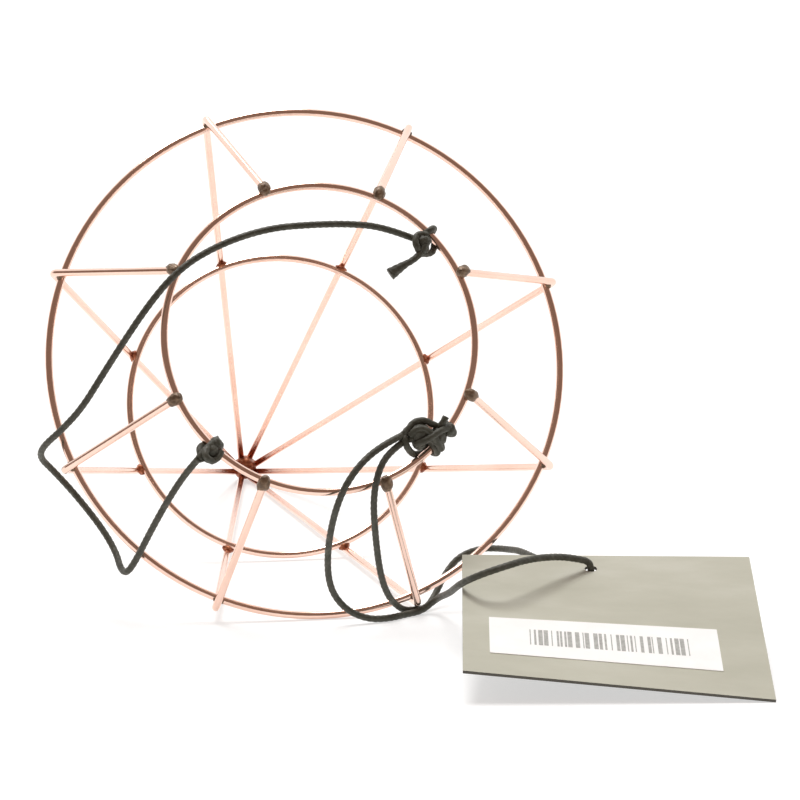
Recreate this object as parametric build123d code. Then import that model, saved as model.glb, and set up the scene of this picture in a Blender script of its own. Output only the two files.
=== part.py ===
from build123d import *
import math
import os

# Wire hanging planter, lying on its side, with two hanger cords and a card tag.
#
# Lengths are in millimetres. The model is written about a foot point: the point of the
# floor (z = 0) under the centre of the middle ring. X is to the right, Y is away from
# the mouth side, Z is up. ORIGIN_SHIFT then moves everything so that the row's origin
# is the centre of the base of the cage and the tag.

ORIGIN_SHIFT = Vector(-24.47, -32.85, 0)

# Wire cage
WIRE_RADIUS = 1.1
MIDDLE_RING_RADIUS = 75.0
TOP_RING_RADIUS = 44.0
LOWER_RING_RADIUS = 48.0
TOP_RING_HEIGHT = 29.0            # along the cage axis, from the middle ring
LOWER_RING_HEIGHT = -69.0
RIB_END_RADIUS = 3.4              # where the ribs stop, in the hub weld
RIB_END_HEIGHT = -186.5
RIB_TOP_OVERHANG = 1.5            # cut rib end past the top ring
RIB_BEND_RADIUS = 2.4
TOUCH_GAP = 0.02                  # between wires that lie against each other
HUB_RADIUS = 4.45
HUB_HEIGHT = -187.0
WELD_RADIUS = 1.75
WELD_TURN = (25, 35, 15)          # turns each bead's seam away from the wires
AXIS_SLOPE = 20.898               # of the cage axis above the floor, degrees
AXIS_TURN = 9.663                 # of the cage axis from -Y towards +X, degrees

# Angle round the cage of each rib at its tip, and of its end on the top ring
RIB_ANGLES = [110, 64, 16, -26, -69, -113, -157, -200.5]
RIB_TOP_ANGLES = [108, 65.5, 23, -23.5, -69.5, -114, -158, -206]

# Hanger cords
CORD_RADIUS = 0.9
BORE_GAP = 0.05                   # round a wire that passes through a knot

# Card tag: corners of its middle surface
CARD_THICKNESS = 0.8
CARD_TOP_LEFT = Vector(44.1, -40.5, 21.8)
CARD_TOP_RIGHT = Vector(124.1, -42.2, 21.6)
CARD_BOTTOM_RIGHT = Vector(122.4, -110.6, 0.4)
CARD_BOTTOM_LEFT = Vector(42.7, -110.8, 8.1)
HOLE_CENTRE = Vector(79.5, -49.1, 19.8)
HOLE_RADIUS = 1.7
STICKER_THICKNESS = 0.15
STICKER_GAP = 0.02
STICKER_ACROSS = (0.0875, 0.844)  # fractions of the card's width
STICKER_DOWN = (0.553, 0.842)     # fractions of the card's height

# Cord routes, from knot to knot, chosen by hand. Each corner is rounded below.
LONG_CORD_ROUTE = [
    (29.5, -15, 108.5), (22, -19, 111.8), (12.5, -21.8, 113), (2, -24.2, 113),
    (-9, -26.2, 112.3), (-20, -28.5, 109.3), (-30, -31.3, 104.6), (-37, -34.5, 99),
    (-43.5, -35.3, 91), (-50, -34, 81.5), (-56.5, -32.3, 71.5), (-62.5, -31.2, 62),
    (-69, -28, 55), (-74.7, -24.5, 49.8), (-76.4, -18.5, 45.5), (-73.5, -13.6, 41),
    (-67, -14.5, 34), (-59, -18.5, 25), (-54.5, -22.5, 18.5), (-52.8, -28, 15),
    (-50.5, -32.5, 14.8), (-47.5, -34.5, 19.5), (-43, -38.7, 28.5), (-37.5, -42, 38.5),
    (-32, -45.6, 47), (-28.6, -48.2, 51),
]
CORD_TAIL_ROUTE = [
    (33, -17.3, 104.6), (31, -18.6, 102.6), (27.6, -19.8, 101), (24, -20.8, 98.6),
]
LOOP_CORD_ROUTE = [
    (27.5, -37, 55.5), (21.5, -42, 53.5), (14.5, -47, 48), (9.5, -48, 39),
    (6.5, -41, 25), (6.5, -35.5, 12), (11, -33.2, 4.6), (17.5, -31.8, 1.3),
    (23.5, -29.5, 0.95), (28.5, -24.6, 0.95), (33, -21, 0.95), (36.2, -20.6, 3),
    (39.1, -22, 5.2), (41, -25, 6.5), (41.4, -31.5, 8.2), (41.5, -40, 11),
    (41.6, -49, 14.2), (41.9, -58, 17.4), (43.4, -65.5, 20.6), (48, -70.6, 23.6),
    (54.5, -70.3, 25.8), (62, -63, 26.3), (70, -55.6, 25.2), (75.6, -51.6, 23.6),
    (79.5, -49.1, 22.1), (79.5, -49.1, 17.5), (76, -45.6, 17.4), (70, -39.3, 18.7),
    (64.5, -30.5, 19.4), (61, -21, 19.5), (58.8, -12, 18.6), (55.5, -5.5, 17.5),
    (50, -3.6, 16.2), (44, -5, 13.3), (40, -8, 9), (37.2, -13, 4.2),
    (34.6, -17.2, 0.95), (31, -19.4, 0.92), (28.2, -21.3, 1.2), (25.6, -24.8, 3.6),
    (22.9, -30.2, 8.5), (21, -34.5, 16), (19.8, -40, 28), (19.3, -44, 39),
    (20.8, -44.5, 47), (24, -41, 51), (28.5, -36, 53.5),
]

# Knots: lobes of gathered cord, as (x, y, z, radius)
KNOT_1_LOBES = [(33.6, -14.6, 107.2, 3.3), (35, -12.8, 109.6, 2.2), (31.6, -15.4, 108.3, 2.1)]
KNOT_2_LOBES = [(-25.8, -45.6, 52.4, 3.5), (-24, -44.4, 55, 2.2), (-27.6, -47, 51.6, 2.3)]
KNOT_3_LOBES = [(33.6, -35.2, 54.6, 4.8), (38.6, -33.6, 53.4, 3.6)]


def axis_directions():
    """Unit vectors of the cage: across, up and along its axis towards the mouth."""
    slope = math.radians(AXIS_SLOPE)
    turn = math.radians(AXIS_TURN)
    along = Vector(
        math.cos(slope) * math.sin(turn),
        -math.cos(slope) * math.cos(turn),
        math.sin(slope),
    )
    across = Vector(math.cos(turn), math.sin(turn), 0)
    return across, across.cross(along) * -1, along


ACROSS, UP, ALONG = axis_directions()
# The middle ring rests on the floor
RING_CENTRE = Vector(
    0, 0, MIDDLE_RING_RADIUS * math.cos(math.radians(AXIS_SLOPE)) + WIRE_RADIUS
)


def cage_point(radius, angle, height):
    """A point from its distance to the cage axis, angle round it and height along it."""
    angle = math.radians(angle)
    outward = ACROSS * math.cos(angle) + UP * math.sin(angle)
    return RING_CENTRE + outward * radius + ALONG * height


def ring(radius, height):
    """A wire ring round the cage axis."""
    plane = Plane(origin=cage_point(0, 0, height), x_dir=ACROSS, z_dir=ALONG)
    return plane * Torus(radius, WIRE_RADIUS)


def rib_profile():
    """Top end, bend corner and hub end of a rib, as (radius, height) vectors.

    The upper length lies against the outside of the top and middle rings, and the
    lower length against the outside of the lower ring.
    """
    touch = 2 * WIRE_RADIUS + TOUCH_GAP
    middle = Vector(MIDDLE_RING_RADIUS, 0)
    top = Vector(TOP_RING_RADIUS, TOP_RING_HEIGHT)
    lower = Vector(LOWER_RING_RADIUS, LOWER_RING_HEIGHT)
    hub_end = Vector(RIB_END_RADIUS, RIB_END_HEIGHT)

    down = (middle - top).normalized()
    upper_start = top + Vector(-down.Y, down.X) * touch
    to_lower = lower - hub_end
    lean = math.atan2(to_lower.X, to_lower.Y) + math.asin(touch / to_lower.length)
    rise = Vector(math.sin(lean), math.cos(lean))

    # Corner: where the two straight lengths would meet
    offset = hub_end - upper_start
    distance = offset.cross(rise).Z / down.cross(rise).Z
    corner = upper_start + down * distance
    return upper_start - down * RIB_TOP_OVERHANG, corner, hub_end


RIB_TOP, RIB_CORNER, RIB_HUB_END = rib_profile()


def rib(index):
    """One rib: a wire from the top ring, bent at its tip, down to the hub."""
    path = FilletPolyline(
        cage_point(RIB_TOP.X, RIB_TOP_ANGLES[index], RIB_TOP.Y),
        cage_point(RIB_CORNER.X, RIB_ANGLES[index], RIB_CORNER.Y),
        cage_point(RIB_HUB_END.X, RIB_ANGLES[index], RIB_HUB_END.Y),
        radius=RIB_BEND_RADIUS,
    )
    return tube(path, WIRE_RADIUS)


def tube(path, radius):
    """A round tube along a path."""
    section = Plane(origin=path @ 0, z_dir=path % 0) * Circle(radius)
    return sweep(section, path=path)


def weld_group(ring_solid, ribs, ring_radius, ring_height, rib_angles):
    """Small weld beads where the ribs lie against a ring, less the wires themselves."""
    beads = []
    for rib_solid, angle in zip(ribs, rib_angles):
        contact = weld_contact(ring_radius, ring_height, angle)
        bead = Pos(*contact) * Rot(*WELD_TURN) * Sphere(WELD_RADIUS)
        bead = bead - ring_solid - rib_solid
        beads += largest(bead)
    return Compound(children=beads)


def weld_contact(ring_radius, ring_height, angle):
    """Where a rib touches a ring, on the ring's outer side."""
    if ring_height < 0:
        lean = RIB_CORNER - RIB_HUB_END
    else:
        lean = RIB_TOP - RIB_CORNER
    side = Vector(lean.Y, -lean.X).normalized()
    return cage_point(
        ring_radius + side.X * WIRE_RADIUS, angle, ring_height + side.Y * WIRE_RADIUS
    )


def largest(shape):
    """The largest solid of a shape, in a list."""
    return [max(shape.solids(), key=lambda solid: solid.volume)]


def route_radii(points):
    """Bend radius at each inner point of a route, from its shorter run and its turn."""
    radii = []
    for before, here, after in zip(points, points[1:], points[2:]):
        run_in = here - before
        run_out = after - here
        half_turn = math.radians(run_in.get_angle(run_out)) / 2
        radii.append(0.45 * min(run_in.length, run_out.length) / math.tan(half_turn))
    return radii


def cord(name, route):
    """A hanger cord: straight runs joined by tangent arcs."""
    points = [Vector(*point) for point in route]
    radii = route_radii(points)
    path = FilletPolyline(*points, radius=radii)
    solid = tube(path, CORD_RADIUS)
    section = math.pi * CORD_RADIUS**2
    print(
        name, "length", round(path.length, 1), "least radius", round(min(radii), 1),
        "volume over section times length", round(solid.volume / section / path.length, 4),
    )
    return solid


def knot(lobes, wires, cords):
    """Gathered cord round a wire: fused lobes, bored for the wires, less the cords."""
    body = Part()
    for x, y, z, radius in lobes:
        body += Pos(x, y, z) * Sphere(radius)
    for wire in wires:
        body -= wire
    for piece in cords:
        body -= piece
    return body


def bore(radius, height):
    """The space that a ring takes inside a knot."""
    plane = Plane(origin=cage_point(0, 0, height), x_dir=ACROSS, z_dir=ALONG)
    return plane * Torus(radius, WIRE_RADIUS + BORE_GAP)


def card_point(across, down):
    """A point of the card's twisted middle surface."""
    top = CARD_TOP_LEFT * (1 - across) + CARD_TOP_RIGHT * across
    bottom = CARD_BOTTOM_LEFT * (1 - across) + CARD_BOTTOM_RIGHT * across
    return top * (1 - down) + bottom * down


def card_normal(across, down):
    """The card's upward normal."""
    step = 0.001
    along = card_point(across + step, down) - card_point(across, down)
    down_card = card_point(across, down + step) - card_point(across, down)
    return down_card.cross(along).normalized()


def plate(across, down, below, above):
    """A plate on the card's surface between two fractions each way and two heights."""
    ends = []
    for side in across:
        corners = []
        for place, height in ((down[0], below), (down[1], below), (down[1], above), (down[0], above)):
            corners.append(card_point(side, place) + card_normal(side, 0.5) * height)
        ends.append(Face(Wire.make_polygon(corners)))
    return loft(ends, ruled=True)


def tag_card():
    """The card, with the hole that the cord passes through."""
    half = CARD_THICKNESS / 2
    card = plate((0, 1), (0, 1), -half, half)
    return card - Pos(*HOLE_CENTRE) * Cylinder(HOLE_RADIUS, 10 * CARD_THICKNESS)


def tag_sticker():
    """A paper sticker on the card."""
    base = CARD_THICKNESS / 2 + STICKER_GAP
    return plate(STICKER_ACROSS, STICKER_DOWN, base, base + STICKER_THICKNESS)


def build():
    """Every sub-part by node name."""
    nodes = {
        "middle_ring": ring(MIDDLE_RING_RADIUS, 0),
        "top_ring": ring(TOP_RING_RADIUS, TOP_RING_HEIGHT),
        "lower_ring": ring(LOWER_RING_RADIUS, LOWER_RING_HEIGHT),
    }
    ribs = [rib(index) for index in range(len(RIB_ANGLES))]
    for number, solid in enumerate(ribs, start=1):
        nodes[f"rib_{number}"] = solid

    hub = Pos(*cage_point(0, 0, HUB_HEIGHT)) * Sphere(HUB_RADIUS)
    for solid in ribs:
        hub -= solid
    nodes["hub_weld"] = largest(hub)[0]
    nodes["middle_ring_welds"] = weld_group(
        nodes["middle_ring"], ribs, MIDDLE_RING_RADIUS, 0, RIB_ANGLES
    )
    nodes["top_ring_welds"] = weld_group(
        nodes["top_ring"], ribs, TOP_RING_RADIUS, TOP_RING_HEIGHT, RIB_TOP_ANGLES
    )
    nodes["lower_ring_welds"] = weld_group(
        nodes["lower_ring"], ribs, LOWER_RING_RADIUS, LOWER_RING_HEIGHT, RIB_ANGLES
    )

    nodes["long_cord"] = cord("long_cord", LONG_CORD_ROUTE)
    nodes["cord_tail"] = cord("cord_tail", CORD_TAIL_ROUTE)
    nodes["loop_cord"] = cord("loop_cord", LOOP_CORD_ROUTE)
    wires = [bore(TOP_RING_RADIUS, TOP_RING_HEIGHT)]
    nodes["knot_1"] = knot(KNOT_1_LOBES, wires, [nodes["long_cord"], nodes["cord_tail"]])
    nodes["knot_2"] = knot(KNOT_2_LOBES, wires, [nodes["long_cord"]])
    nodes["knot_3"] = knot(KNOT_3_LOBES, wires, [nodes["loop_cord"]])

    nodes["tag_card"] = tag_card()
    nodes["tag_sticker"] = tag_sticker()
    return nodes


os.makedirs("parts", exist_ok=True)
for name, shape in build().items():
    export_step(Pos(*ORIGIN_SHIFT) * shape, f"parts/{name}.step")
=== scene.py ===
import math

import bmesh
import bpy
import numpy as np
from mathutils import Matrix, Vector, noise


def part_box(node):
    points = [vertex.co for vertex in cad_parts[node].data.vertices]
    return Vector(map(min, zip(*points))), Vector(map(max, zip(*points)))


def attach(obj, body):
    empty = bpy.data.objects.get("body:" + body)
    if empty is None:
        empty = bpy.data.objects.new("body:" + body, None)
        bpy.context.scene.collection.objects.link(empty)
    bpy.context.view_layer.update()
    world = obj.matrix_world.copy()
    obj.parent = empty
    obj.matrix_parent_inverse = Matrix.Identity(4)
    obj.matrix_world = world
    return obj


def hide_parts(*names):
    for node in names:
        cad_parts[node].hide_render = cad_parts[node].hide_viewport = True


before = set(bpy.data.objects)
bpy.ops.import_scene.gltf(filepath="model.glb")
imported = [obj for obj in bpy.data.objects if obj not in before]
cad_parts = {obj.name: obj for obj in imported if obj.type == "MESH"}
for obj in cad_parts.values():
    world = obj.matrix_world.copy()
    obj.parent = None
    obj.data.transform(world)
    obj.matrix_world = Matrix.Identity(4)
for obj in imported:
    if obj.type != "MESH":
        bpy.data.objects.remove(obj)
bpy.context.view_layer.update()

MM = 0.001
# The routes below are in millimetres from the foot of the middle ring, as in the CAD
# model, and this is where that foot lies in the row's frame.
FOOT = Vector((-24.47, -32.85, 0)) * MM

# Camera
LENS = 117.0
CAMERA_PLACE = Vector((26.75, -749.3, 188.1))
CAMERA_PITCH = 9.772
CAMERA_NEAR = 0.01

# Cords
CORD_RADIUS = 0.95 * MM
PLY_COUNT = 3
PLY_DEPTH = 0.05
PLY_PITCH = 5.2 * MM
CORD_STEP = 0.45 * MM
CORD_SIDES = 18
FRAY_STEPS = 13
WRAP_STEPS = 26
WRAP_PITCH = 1.85 * MM
WRAP_GRIP = 0.95                     # part of the cord's radius left where it grips the wire

# Cage
AXIS_SLOPE = math.radians(20.898)
AXIS_TURN = math.radians(9.663)
WIRE_RADIUS = 1.1 * MM
TOP_RING_RADIUS = 44.0 * MM
HUB_LIFT = 0.8 * MM
HUB_SEED = 5.0
HUB_ROUND = 0.92
HUB_LONG = 1.25
FLOOR_GAP = 0.1 * MM
# Lumps: a slow and a fine noise, and how far each moves the surface
LUMP_SCALE = 1.7
LUMP_DEPTH = 0.15
LUMP_SEED_TURN = 2.3
GRAIN_SCALE = 4.5
GRAIN_DEPTH = 0.05
BEAD_SEED_STEP = 3.7
# Red-brown tint on the wires near the hub, full close to it and gone further out
HUB_TINT = (0.5, 0.17, 0.09, 1)
HUB_TINT_START = 5 * MM
HUB_TINT_END = 20 * MM

# Tag
# Painted shade: a dark colour for the card's faces that turn away from up, which are its cut edges
CARD_EDGE_SHADE = (0.09, 0.085, 0.07, 1)
CORNER_REACH = 0.4 * MM
# Printed bars, in parts of the label's width and height
BAR_COUNT = 60
BARS_LEFT = 0.175
BARS_RIGHT = 0.885
BARS_TOP = 0.29
BARS_BOTTOM = 0.7
INK_LIFT = 0.03 * MM
INK_SINK = -0.01 * MM

# The middle part of a noise's values, where most of them lie
NOISE_LOW = 0.3
NOISE_HIGH = 0.7

LONG_CORD_ROUTE = [
    (29.5, -15, 108.5), (22, -19, 111.8), (12.5, -21.8, 113), (2, -24.2, 113),
    (-9, -26.2, 112.3), (-20, -28.5, 109.3), (-30, -31.3, 104.6), (-37, -34.5, 99),
    (-43.5, -35.3, 91), (-50, -34, 81.5), (-56.5, -32.3, 71.5), (-62.5, -31.2, 62),
    (-69, -28, 55), (-74.7, -24.5, 49.8), (-76.4, -18.5, 45.5), (-73.5, -13.6, 41),
    (-67, -14.5, 34), (-59, -18.5, 25), (-54.5, -22.5, 18.5), (-52.8, -28, 15),
    (-50.5, -32.5, 14.8), (-47.5, -34.5, 19.5), (-43, -38.7, 28.5), (-37.5, -42, 38.5),
    (-32, -45.6, 47), (-28.6, -48.2, 51),
]
CORD_TAIL_ROUTE = [
    (33, -17.3, 104.6), (31, -18.6, 102.6), (27.6, -19.8, 101), (24, -20.8, 98.6),
]
LOOP_CORD_ROUTE = [
    (27.5, -37, 55.5), (21.5, -42, 53.5), (14.5, -47, 48), (9.5, -48, 39),
    (6.5, -41, 25), (6.5, -35.5, 12), (11, -33.2, 4.6), (17.5, -31.8, 1.3),
    (23.5, -29.5, 0.95), (28.5, -24.6, 0.95), (33, -21, 0.95), (36.2, -20.7, 3.6),
    (37.8, -22.5, 5.2), (38.8, -26.5, 6.8), (39.5, -32.5, 8.6), (40.1, -40.5, 11),
    (40.8, -49, 13.6), (41.6, -57.5, 16.6), (43.4, -64.8, 20), (48, -70.6, 23.6),
    (54.5, -70.3, 25.8), (62, -63, 26.3), (70, -55.6, 25.2), (75.6, -51.6, 23.6),
    (79.5, -49.1, 22.1), (79.5, -49.1, 17.5), (76, -45.6, 17.4), (70, -39.3, 18.7),
    (64.5, -30.5, 19.2), (61, -21, 18.8), (58.8, -12, 17), (55.5, -5.5, 15.9),
    (50, -3.6, 15.4), (44, -5, 13.3), (40, -8, 9), (37.2, -13, 4.2),
    (34.6, -17.2, 0.95), (31, -19.4, 0.92), (28.2, -21.3, 1.2), (25.6, -24.8, 3.6),
    (22.9, -30.2, 8.5), (21, -34.5, 16), (19.8, -40, 28), (19.3, -44, 39),
    (20.8, -44.5, 47), (23.8, -41.2, 51.6), (28.4, -36.3, 54),
]

# Studio, by the Y part of a direction, where -1 is towards the camera
STUDIO_DIM = (0.209, 0.15, 0.12, 1)
STUDIO_DIM_UNTIL = 0.0
STUDIO_WHITE_FROM = 0.3
STUDIO_LIGHT = 1.15
BACKDROP_LIGHT = 1.1
TOP_LIGHT = 2.2
TOP_LIGHT_SPREAD = 32
TOP_LIGHT_TURN = (math.radians(-12), math.radians(-10), 0)
FLOOR_FRONT = -0.3
FLOOR_REACH = 12.0
FLOOR_GLOW = 0.55

# Knots: gathered cord inside, as (x, y, z, radius), turns round the top ring, as
# (cage angle, turns), and strands
KNOTS = {
    "hanger_knot_right": {
        "node": "knot_1",
        "cores": [(33.2, -15.4, 107.3, 2.0), (33.6, -15.2, 105.3, 1.5)],
        "wraps": [(42, 1.0)],
        "strands": [
            [(29.5, -15, 108.5), (31.2, -14.6, 107.8), (33, -14.8, 107.6), (35, -14.2, 108.6)],
            [(35, -14.8, 107.6), (33.8, -16.5, 106.5), (33.5, -17, 105.5), (33, -17.3, 104.6)],
            [
                (34.5, -14.6, 109), (32, -15, 109.7), (30.9, -17, 108), (31.5, -18, 106),
                (32.5, -16.5, 104), (34.5, -14, 103.5), (36.5, -11.5, 104), (36.5, -9.5, 106),
            ],
        ],
    },
    "hanger_knot_left": {
        "node": "knot_2",
        "cores": [(-25.4, -45, 52.6, 2.2), (-24.2, -43.6, 54.4, 1.8)],
        "wraps": [(-135.5, 1.5)],
        "strands": [
            [(-28.6, -48.2, 51), (-27.5, -47.5, 52.5), (-26.2, -46.2, 53.8), (-24.8, -44.6, 54.8)],
            [
                (-27.5, -47.5, 50), (-28.2, -47.4, 52), (-28.6, -45, 53.6),
                (-27.4, -41, 53.6), (-25.5, -39.4, 54), (-23.5, -39.6, 55),
            ],
            [(-27.2, -46.4, 51), (-25.5, -47.2, 50), (-23.2, -46, 50.6), (-22.6, -44.6, 52.4)],
            [(-26.2, -46.2, 53.8), (-27, -48.5, 52.5), (-26, -49, 51), (-24.8, -47, 50)],
        ],
    },
    "loop_knot": {
        "node": "knot_3",
        "cores": [
            (32.2, -35.6, 55.6, 3.1), (32, -35.4, 53, 2.0),
            (37, -34.6, 54.4, 2.7), (40.4, -33, 56.4, 1.9),
        ],
        "wraps": [(-46.5, 2.0), (-38.5, 1.0)],
        "strands": [
            [
                (27.5, -37, 55.5), (29, -37, 57), (30.5, -35.5, 59), (33.5, -35, 59.5),
                (36, -34.5, 58), (38.4, -33.6, 57), (41, -32, 57.4),
            ],
            [
                (28.4, -36.3, 54), (30, -36.9, 54.4), (32.5, -37, 54.8),
                (35, -37, 54.4), (37, -36, 53.4), (38, -34.8, 51.8),
            ],
            [
                (28.5, -35, 56.5), (28, -38, 55), (28.5, -38, 52.5), (30, -35.5, 50),
                (31.5, -32.6, 49), (34.5, -30.6, 50),
            ],
            [
                (29.6, -37.6, 55.4), (31, -38, 57.4), (33.6, -37.6, 57.6),
                (35.8, -38, 55.8), (37.4, -37, 53.2), (38.2, -35, 51.2),
            ],
            [(36.5, -33.6, 55.5), (38, -34.5, 57.5), (39, -34.6, 59), (39.6, -34.2, 60.2)],
            [
                (31, -38.2, 53.2), (33.4, -39, 54), (36, -38.4, 55.6),
                (38.4, -36.2, 56.8), (40.6, -33.6, 57),
            ],
        ],
    },
}


def place(point):
    """A point of the lists above in the row's frame, in metres."""
    return Vector(point) * MM + FOOT


def box_centre(node):
    """The middle of a CAD node's box."""
    low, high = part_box(node)
    return (low + high) / 2


# ---------------------------------------------------------------- camera
def make_camera():
    data = bpy.data.cameras.new("camera")
    data.lens = LENS
    data.clip_start = CAMERA_NEAR
    camera = bpy.data.objects.new("camera", data)
    bpy.context.collection.objects.link(camera)
    camera.location = place(CAMERA_PLACE)
    camera.rotation_euler = (math.radians(90 - CAMERA_PITCH), 0, 0)
    bpy.context.scene.camera = camera


# ---------------------------------------------------------------- materials
class Nodes:
    """A short way to build a material's node tree."""

    def __init__(self, name):
        self.material = bpy.data.materials.new(name)
        self.material.use_nodes = True
        self.tree = self.material.node_tree
        self.shader = self.tree.nodes["Principled BSDF"]
        self.coordinates = self.add("ShaderNodeTexCoord").outputs["Object"]

    def add(self, kind, **values):
        node = self.tree.nodes.new(kind)
        for key, value in values.items():
            setattr(node, key, value)
        return node

    def join(self, output, target):
        self.tree.links.new(output, target)

    def noise(self, scale, detail=4.0, roughness=0.55, stretch=None):
        node = self.add("ShaderNodeTexNoise")
        node.inputs["Scale"].default_value = scale
        node.inputs["Detail"].default_value = detail
        node.inputs["Roughness"].default_value = roughness
        source = self.coordinates
        if stretch:
            mapping = self.add("ShaderNodeMapping")
            mapping.inputs["Scale"].default_value = stretch
            self.join(source, mapping.inputs["Vector"])
            source = mapping.outputs["Vector"]
        self.join(source, node.inputs["Vector"])
        return node.outputs["Fac"]

    def ramp(self, source, stops):
        node = self.add("ShaderNodeValToRGB")
        elements = node.color_ramp.elements
        while len(elements) < len(stops):
            elements.new(0.5)
        for element, (position, colour) in zip(elements, stops):
            element.position = position
            element.color = (*colour, 1)
        self.join(source, node.inputs["Fac"])
        return node.outputs["Color"]

    def spread(self, source, low, high):
        node = self.add("ShaderNodeMapRange")
        node.inputs["From Min"].default_value = NOISE_LOW
        node.inputs["From Max"].default_value = NOISE_HIGH
        node.inputs["To Min"].default_value = low
        node.inputs["To Max"].default_value = high
        self.join(source, node.inputs["Value"])
        return node.outputs["Result"]

    def bump(self, source, strength, distance):
        node = self.add("ShaderNodeBump")
        node.inputs["Strength"].default_value = strength
        node.inputs["Distance"].default_value = distance
        self.join(source, node.inputs["Height"])
        self.join(node.outputs["Normal"], self.shader.inputs["Normal"])

    def set(self, **values):
        for key, value in values.items():
            self.shader.inputs[key.replace("_", " ")].default_value = value


def copper_material():
    """Copper plate on drawn wire: slow tone changes, faint drawing marks and smears, and
    a red-brown tint on the wires near the hub."""
    nodes = Nodes("copper_plate")
    colour = nodes.ramp(nodes.noise(38, 4), [
        (0.25, (0.86, 0.58, 0.47)),
        (0.5, (0.93, 0.66, 0.55)),
        (0.75, (0.96, 0.71, 0.61)),
    ])
    # The wires' colour turns red-brown towards the middle of the hub
    reach = nodes.add("ShaderNodeVectorMath", operation="DISTANCE")
    nodes.join(nodes.coordinates, reach.inputs[0])
    reach.inputs[1].default_value = box_centre("hub_weld")
    hub_fade = nodes.add("ShaderNodeMapRange", interpolation_type="SMOOTHSTEP")
    hub_fade.inputs["From Min"].default_value = HUB_TINT_START
    hub_fade.inputs["From Max"].default_value = HUB_TINT_END
    nodes.join(reach.outputs["Value"], hub_fade.inputs["Value"])
    mix = nodes.add("ShaderNodeMix", data_type="RGBA")
    nodes.join(hub_fade.outputs["Result"], mix.inputs["Factor"])
    mix.inputs["A"].default_value = HUB_TINT
    nodes.join(colour, mix.inputs["B"])
    nodes.join(mix.outputs["Result"], nodes.shader.inputs["Base Color"])
    nodes.join(nodes.spread(nodes.noise(240, 6, 0.6), 0.1, 0.19), nodes.shader.inputs["Roughness"])
    nodes.set(Metallic=1.0)
    nodes.bump(nodes.noise(2600, 3, 0.6), 0.06, 0.00005)
    return nodes.material


def braze_material(name, metallic, dark, middle, bright):
    """Braze: uneven in tone, dull and lumpy."""
    nodes = Nodes(name)
    colour = nodes.ramp(nodes.noise(620, 5), [(0.32, dark), (0.5, middle), (0.7, bright)])
    nodes.join(colour, nodes.shader.inputs["Base Color"])
    nodes.join(nodes.spread(nodes.noise(900, 4), 0.3, 0.55), nodes.shader.inputs["Roughness"])
    nodes.set(Metallic=metallic)
    nodes.bump(nodes.noise(1500, 5), 0.5, 0.0002)
    return nodes.material


def cord_material():
    """Waxed cotton cord: dark olive grey with paler wax and fine fibres."""
    nodes = Nodes("waxed_cotton")
    wax = nodes.noise(480, 6, 0.65)
    colour = nodes.ramp(wax, [
        (0.3, (0.04, 0.041, 0.027)),
        (0.55, (0.062, 0.062, 0.044)),
        (0.75, (0.11, 0.11, 0.085)),
    ])
    nodes.join(colour, nodes.shader.inputs["Base Color"])
    nodes.join(nodes.spread(wax, 0.66, 0.46), nodes.shader.inputs["Roughness"])
    nodes.set(Sheen_Weight=0.08, Sheen_Roughness=0.4)
    nodes.bump(nodes.noise(4200, 4, 0.7), 0.45, 0.00012)
    return nodes.material


def card_material():
    """Uncoated grey card: fine fibre and soft mottling, with painted shade on the cut edges."""
    nodes = Nodes("grey_card")
    mottle = nodes.noise(28, 6, 0.6, (1.0, 2.4, 1.0))
    face = nodes.ramp(mottle, [
        (0.3, (0.44, 0.435, 0.352)),
        (0.55, (0.49, 0.485, 0.4)),
        (0.75, (0.54, 0.535, 0.455)),
    ])
    # Painted shade: faces that turn away from up, the cut edges, blend to the dark edge colour
    split = nodes.add("ShaderNodeSeparateXYZ")
    nodes.join(nodes.add("ShaderNodeNewGeometry").outputs["Normal"], split.inputs["Vector"])
    mix = nodes.add("ShaderNodeMix", data_type="RGBA")
    nodes.join(nodes.spread(split.outputs["Z"], 0, 1), mix.inputs["Factor"])
    mix.inputs["A"].default_value = CARD_EDGE_SHADE
    nodes.join(face, mix.inputs["B"])
    nodes.join(mix.outputs["Result"], nodes.shader.inputs["Base Color"])
    nodes.set(Roughness=0.72)
    nodes.bump(nodes.noise(1900, 6, 0.7, (0.35, 1.0, 1.0)), 0.22, 0.00008)
    return nodes.material


def sticker_material():
    """White label paper with a faint warm mottle."""
    nodes = Nodes("label_paper")
    colour = nodes.ramp(nodes.noise(160, 4), [
        (0.35, (0.9, 0.9, 0.885)),
        (0.65, (0.94, 0.94, 0.93)),
    ])
    nodes.join(colour, nodes.shader.inputs["Base Color"])
    nodes.set(Roughness=0.55)
    nodes.bump(nodes.noise(2400, 3), 0.08, 0.00004)
    return nodes.material


def ink_material():
    """Grey printed bars with uneven ink."""
    nodes = Nodes("grey_ink")
    colour = nodes.ramp(nodes.noise(900, 4), [
        (0.35, (0.33, 0.33, 0.31)),
        (0.7, (0.46, 0.46, 0.44)),
    ])
    nodes.join(colour, nodes.shader.inputs["Base Color"])
    nodes.set(Roughness=0.6)
    return nodes.material


def floor_material():
    """A pale floor that glows, so that shadows on it stay faint."""
    nodes = Nodes("pale_floor")
    nodes.set(Base_Color=(0.5, 0.5, 0.497, 1), Roughness=0.9)
    nodes.set(Emission_Color=(1, 1, 1, 1), Emission_Strength=FLOOR_GLOW)
    return nodes.material


# ---------------------------------------------------------------- mesh helpers
def new_object(name, mesh, material):
    made = bpy.data.objects.new(name, mesh)
    bpy.context.collection.objects.link(made)
    mesh.materials.clear()
    mesh.materials.append(material)
    return made


def mesh_object(name, verts, faces, material, smooth=True):
    mesh = bpy.data.meshes.new(name)
    mesh.from_pydata([tuple(v) for v in verts], [], faces)
    mesh.polygons.foreach_set("use_smooth", [smooth] * len(faces))
    mesh.update()
    return new_object(name, mesh, material)


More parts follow.
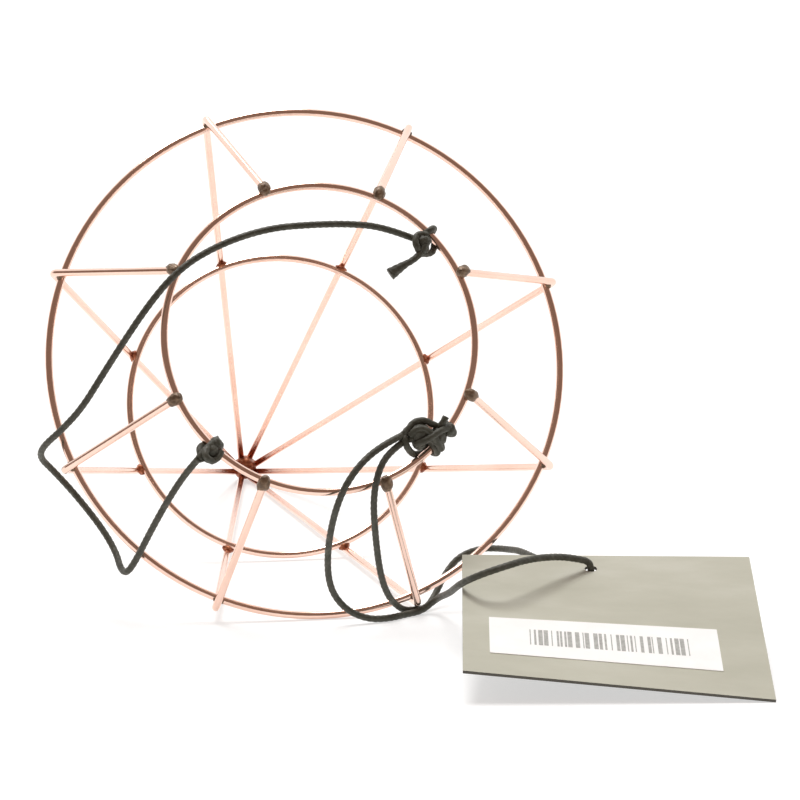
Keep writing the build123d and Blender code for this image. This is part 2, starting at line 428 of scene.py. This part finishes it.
def route_points(name, route):
    """Points of the smooth line that a route gives: its NURBS spline, with no bevel."""
    curve = bpy.data.curves.new(name, "CURVE")
    curve.dimensions = "3D"
    curve.resolution_u = 12
    spline = curve.splines.new("NURBS")
    spline.points.add(len(route) - 1)
    for point, corner in zip(spline.points, route):
        point.co = (*place(corner), 1)
    spline.order_u = 3
    spline.use_endpoint_u = True
    holder = bpy.data.objects.new(name, curve)
    bpy.context.collection.objects.link(holder)
    bpy.context.view_layer.update()
    mesh = bpy.data.meshes.new_from_object(holder.evaluated_get(
        bpy.context.evaluated_depsgraph_get()))
    points = [v.co.copy() for v in mesh.vertices]
    bpy.data.objects.remove(holder)
    bpy.data.meshes.remove(mesh)
    return points


def even_steps(points, step):
    """The same line with points a fixed step apart."""
    lengths = [0.0]
    for before, after in zip(points, points[1:]):
        lengths.append(lengths[-1] + (after - before).length)
    count = max(2, round(lengths[-1] / step))
    wanted = np.linspace(0, lengths[-1], count + 1)
    columns = [np.interp(wanted, lengths, [p[axis] for p in points]) for axis in range(3)]
    return [Vector(row) for row in zip(*columns)]


def carried_frames(points):
    """A side and an up direction at each point, carried along without twisting."""
    frames = []
    side = None
    for index in range(len(points)):
        ahead = points[min(index + 1, len(points) - 1)] - points[max(index - 1, 0)]
        ahead.normalize()
        if side is None:
            side = ahead.orthogonal().normalized()
        side = (side - ahead * side.dot(ahead)).normalized()
        frames.append((side.copy(), ahead.cross(side)))
    return frames


def twisted_tube(points, radius, ends=(1.0, 1.0)):
    """Verts and faces of a plied cord along a line, its ends scaled and closed."""
    verts = []
    faces = []
    step = (points[1] - points[0]).length
    last = len(points) - 1
    for index, (point, (side, up)) in enumerate(zip(points, carried_frames(points))):
        near_end = min(index, last - index)
        end_scale = ends[0] if index < last / 2 else ends[1]
        swell = 1 + (end_scale - 1) * max(0, 1 - near_end / FRAY_STEPS)
        turn = 2 * math.pi * index * step / PLY_PITCH
        for corner in range(CORD_SIDES):
            angle = 2 * math.pi * corner / CORD_SIDES
            ply = 1 + PLY_DEPTH * math.cos(PLY_COUNT * (angle - turn))
            reach = radius * swell * ply
            verts.append(point + (side * math.cos(angle) + up * math.sin(angle)) * reach)
    for ring in range(last):
        for corner in range(CORD_SIDES):
            after = (corner + 1) % CORD_SIDES
            a = ring * CORD_SIDES
            b = a + CORD_SIDES
            faces.append((a + corner, a + after, b + after, b + corner))
    faces.append(tuple(reversed(range(CORD_SIDES))))
    faces.append(tuple(range(last * CORD_SIDES, (last + 1) * CORD_SIDES)))
    return verts, faces


# ---------------------------------------------------------------- cords
def cord_piece(name, route, material, ends=(1.0, 1.0)):
    """A cord along its route. Returns the piece and the points that it follows."""
    points = even_steps(route_points(name, route), CORD_STEP)
    verts, faces = twisted_tube(points, CORD_RADIUS, ends)
    return mesh_object(name, verts, faces, material), points


def cage_axes():
    along = Vector((
        math.cos(AXIS_SLOPE) * math.sin(AXIS_TURN),
        -math.cos(AXIS_SLOPE) * math.cos(AXIS_TURN),
        math.sin(AXIS_SLOPE),
    ))
    across = Vector((math.cos(AXIS_TURN), math.sin(AXIS_TURN), 0))
    return across, along.cross(across), along


def ring_wrap(angle, turns):
    """The line of a cord wound round the top ring, its ends on the inside of the ring."""
    across, up, along = cage_axes()
    angle = math.radians(angle)
    outward = across * math.cos(angle) + up * math.sin(angle)
    tangent = along.cross(outward)
    wire = box_centre("top_ring") + outward * TOP_RING_RADIUS
    grip = WIRE_RADIUS + CORD_RADIUS * WRAP_GRIP
    line = []
    for index in range(round(turns * WRAP_STEPS) + 1):
        part = index / (turns * WRAP_STEPS)
        turn = math.pi + 2 * math.pi * turns * part
        around = outward * math.cos(turn) + along * math.sin(turn)
        slide = (part - 0.5) * turns * WRAP_PITCH
        line.append(wire + tangent * slide + around * grip)
    return line


def knot_piece(name, material):
    """A knot: its turns round the ring and its strands, as one mesh of cord."""
    lines = [ring_wrap(angle, turns) for angle, turns in KNOTS[name]["wraps"]]
    lines += [route_points(name, strand) for strand in KNOTS[name]["strands"]]
    verts = []
    faces = []
    parts = [twisted_tube(even_steps(line, CORD_STEP), CORD_RADIUS) for line in lines]
    for x, y, z, radius in KNOTS[name]["cores"]:
        parts.append(blob(place((x, y, z)), [radius * MM] * 3, cage_axes(), x))
    for more_verts, more_faces in parts:
        start = len(verts)
        verts += more_verts
        faces += [tuple(index + start for index in face) for face in more_faces]
    return mesh_object(name, verts, faces, material)


def make_cords(material):
    long_cord, long_line = cord_piece("hanger_cord", LONG_CORD_ROUTE, material)
    tail, _ = cord_piece("hanger_cord_tail", CORD_TAIL_ROUTE, material, (1.0, 1.9))
    loop_cord, loop_line = cord_piece("tag_loop_cord", LOOP_CORD_ROUTE, material)
    knots = {name: knot_piece(name, material) for name in KNOTS}

    replaced = [(long_cord, "long_cord"), (tail, "cord_tail"), (loop_cord, "loop_cord")]
    replaced += [(knots[name], KNOTS[name]["node"]) for name in KNOTS]
    for piece, node in replaced:
        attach(piece, "cage")
        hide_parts(node)


# ---------------------------------------------------------------- welds
def islands(node):
    """Centres of a CAD node's separate solids."""
    mesh = bmesh.new()
    mesh.from_mesh(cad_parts[node].data)
    bmesh.ops.remove_doubles(mesh, verts=mesh.verts, dist=1e-6)
    centres = []
    seen = set()
    for start in mesh.verts:
        if start in seen:
            continue
        group = []
        stack = [start]
        seen.add(start)
        while stack:
            vert = stack.pop()
            group.append(vert.co.copy())
            for edge in vert.link_edges:
                other = edge.other_vert(vert)
                if other not in seen:
                    seen.add(other)
                    stack.append(other)
        low = Vector(min(p[axis] for p in group) for axis in range(3))
        high = Vector(max(p[axis] for p in group) for axis in range(3))
        centres.append((low + high) / 2)
    mesh.free()
    return centres


def blob(centre, radii, axes, seed):
    """Verts and faces of a lumpy ball, of braze or of gathered cord."""
    ball = bmesh.new()
    bmesh.ops.create_icosphere(ball, subdivisions=4, radius=1)
    verts = []
    for vert in ball.verts:
        lump = noise.noise(vert.co * LUMP_SCALE + Vector((seed, seed * LUMP_SEED_TURN, 0)))
        fine = noise.noise(vert.co * GRAIN_SCALE + Vector((0, seed, seed)))
        reach = 1 + LUMP_DEPTH * lump + GRAIN_DEPTH * fine
        verts.append(centre + sum(
            (axis * radius * coordinate for axis, radius, coordinate in zip(axes, radii, vert.co)),
            Vector((0, 0, 0))) * reach)
    faces = [tuple(v.index for v in face.verts) for face in ball.faces]
    ball.free()
    return verts, faces


def weld_piece(name, node, material, lean, shift, radii):
    """Beads of braze on a ring's joints.

    Lean turns each bead from the ring's outward direction towards the hub, in degrees.
    Shift, in mm, moves it along and across that lean. Radii, in mm, are along the ring,
    along the lean and across it.
    """
    along = cage_axes()[2]
    middle = box_centre(node)
    lean = math.radians(lean)
    verts = []
    faces = []
    for index, centre in enumerate(islands(node)):
        spoke = centre - middle
        spoke -= along * spoke.dot(along)
        outward = spoke.normalized()
        tangent = along.cross(outward)
        down_rib = outward * math.cos(lean) - along * math.sin(lean)
        across_rib = outward * math.sin(lean) + along * math.cos(lean)
        more_verts, more_faces = blob(
            centre + (down_rib * shift[0] + across_rib * shift[1]) * MM,
            [radius * MM for radius in radii], (tangent, down_rib, across_rib),
            index * BEAD_SEED_STEP + len(node),
        )
        start = len(verts)
        verts += more_verts
        faces += [tuple(i + start for i in face) for face in more_faces]
    piece = mesh_object(name, verts, faces, material)
    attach(piece, "cage")
    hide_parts(node)


def hub_piece(material):
    """The lump of braze that holds the ribs together, flat where it meets the floor."""
    low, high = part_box("hub_weld")
    centre = (low + high) / 2
    across, up, along = cage_axes()
    radius = (high.x - low.x) / 2
    radii = (radius * HUB_ROUND, radius * HUB_ROUND, radius * HUB_LONG)
    verts, faces = blob(centre + along * HUB_LIFT, radii, (across, up, along), HUB_SEED)
    verts = [Vector((v.x, v.y, max(v.z, FLOOR_GAP))) for v in verts]
    piece = mesh_object("hub_braze", verts, faces, material)
    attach(piece, "cage")
    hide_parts("hub_weld")


# ---------------------------------------------------------------- tag
def surface_grid(node):
    """The upper corners of a plate: top left, top right, bottom right, bottom left."""
    points = [v.co.copy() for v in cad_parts[node].data.vertices]
    corners = []
    for side_x, side_y in ((-1, 1), (1, 1), (1, -1), (-1, -1)):
        best = max(p.x * side_x + p.y * side_y for p in points)
        near = [p for p in points if p.x * side_x + p.y * side_y > best - CORNER_REACH]
        corners.append(max(near, key=lambda p: p.z))
    return corners


def on_plate(corners, across, down, lift):
    """A point on or over a plate, by parts of its width and height."""
    top = corners[0].lerp(corners[1], across)
    bottom = corners[3].lerp(corners[2], across)
    return top.lerp(bottom, down) + Vector((0, 0, lift))


def bar_widths():
    """Relative widths of the printed bars and gaps, from a fixed number sequence."""
    widths = []
    value = 7
    for _ in range(BAR_COUNT):
        value = (value * 37 + 11) % 101
        widths.append(5 + 5 * (value % 4))
    return widths


def make_bars(material):
    """The label's printed bars, as thin slabs of ink."""
    corners = surface_grid("tag_sticker")
    widths = bar_widths()
    scale = (BARS_RIGHT - BARS_LEFT) / sum(widths)
    verts = []
    faces = []
    left = BARS_LEFT
    for index, width in enumerate(widths):
        right = left + width * scale
        if index % 2 == 0:
            outline = (
                (left, BARS_TOP), (left, BARS_BOTTOM), (right, BARS_BOTTOM), (right, BARS_TOP),
            )
            for lift in (INK_LIFT, INK_SINK):
                verts += [on_plate(corners, across, down, lift) for across, down in outline]
            a = len(verts) - 8
            faces.append((a, a + 1, a + 2, a + 3))
            faces.append((a + 7, a + 6, a + 5, a + 4))
            for side in range(4):
                after = (side + 1) % 4
                faces.append((a + side, a + 4 + side, a + 4 + after, a + after))
        left = right
    piece = mesh_object("label_bars", verts, faces, material, smooth=False)
    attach(piece, "tag")


def finish_node(node, material):
    """Gives a CAD node a better material."""
    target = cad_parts[node]
    if not target.material_slots:
        target.data.materials.append(material)
    for holder in target.material_slots:
        holder.link = "OBJECT"
        holder.material = material


# ---------------------------------------------------------------- stage
def background(tree, strength):
    node = tree.nodes.new("ShaderNodeBackground")
    node.inputs["Strength"].default_value = strength
    return node


def make_world():
    """A white studio that is dim towards the front, and plain white behind the object."""
    world = bpy.data.worlds.new("studio")
    bpy.context.scene.world = world
    world.use_nodes = True
    tree = world.node_tree
    coordinates = tree.nodes.new("ShaderNodeTexCoord")
    split = tree.nodes.new("ShaderNodeSeparateXYZ")
    remap = tree.nodes.new("ShaderNodeMapRange")
    remap.inputs["From Min"].default_value = STUDIO_DIM_UNTIL
    remap.inputs["From Max"].default_value = STUDIO_WHITE_FROM
    ramp = tree.nodes.new("ShaderNodeValToRGB")
    ramp.color_ramp.elements[0].color = STUDIO_DIM
    ramp.color_ramp.elements[1].color = (1, 1, 1, 1)
    studio = background(tree, STUDIO_LIGHT)
    backdrop = background(tree, BACKDROP_LIGHT)
    path = tree.nodes.new("ShaderNodeLightPath")
    mix = tree.nodes.new("ShaderNodeMixShader")
    for source, target in (
        (coordinates.outputs["Generated"], split.inputs["Vector"]),
        (split.outputs["Y"], remap.inputs["Value"]),
        (remap.outputs["Result"], ramp.inputs["Fac"]),
        (ramp.outputs["Color"], studio.inputs["Color"]),
        (path.outputs["Is Camera Ray"], mix.inputs["Fac"]),
        (studio.outputs["Background"], mix.inputs[1]),
        (backdrop.outputs["Background"], mix.inputs[2]),
        (mix.outputs["Shader"], tree.nodes["World Output"].inputs["Surface"]),
    ):
        tree.links.new(source, target)
    backdrop.inputs["Color"].default_value = (1, 1, 1, 1)


def make_stage():
    """A pale table, whose front edge is just outside the picture, and soft top light."""
    left, right = -FLOOR_REACH, FLOOR_REACH
    verts = [
        (left, FLOOR_FRONT, 0), (right, FLOOR_FRONT, 0),
        (right, FLOOR_REACH, 0), (left, FLOOR_REACH, 0),
    ]
    floor = mesh_object("floor", verts, [(0, 1, 2, 3)], floor_material(), smooth=False)
    make_world()
    data = bpy.data.lights.new("top_light", "SUN")
    data.energy = TOP_LIGHT
    data.angle = math.radians(TOP_LIGHT_SPREAD)
    light = bpy.data.objects.new("top_light", data)
    light.rotation_euler = TOP_LIGHT_TURN
    bpy.context.collection.objects.link(light)
    bpy.context.scene.view_settings.view_transform = "Standard"


make_camera()
cord_look = cord_material()
make_cords(cord_look)

copper = copper_material()
for node in ["middle_ring", "top_ring", "lower_ring"] + [f"rib_{n}" for n in range(1, 9)]:
    finish_node(node, copper)
dark_braze = braze_material(
    "dark_braze", 0.3, (0.1, 0.062, 0.035), (0.18, 0.115, 0.068), (0.27, 0.18, 0.11))
red_braze = braze_material(
    "red_braze", 0.6, (0.14, 0.035, 0.014), (0.33, 0.095, 0.04), (0.6, 0.24, 0.12))
weld_piece("middle_ring_braze", "middle_ring_welds", dark_braze, 0, (0, 0), (1.6, 1.0, 1.5))
weld_piece("top_ring_braze", "top_ring_welds", dark_braze, 45, (-0.2, 1.0), (1.75, 2.7, 1.8))
weld_piece("lower_ring_braze", "lower_ring_welds", red_braze, 0, (0, 0), (1.9, 1.2, 1.8))
hub_piece(red_braze)
finish_node("tag_card", card_material())
finish_node("tag_sticker", sticker_material())
make_bars(ink_material())
make_stage()
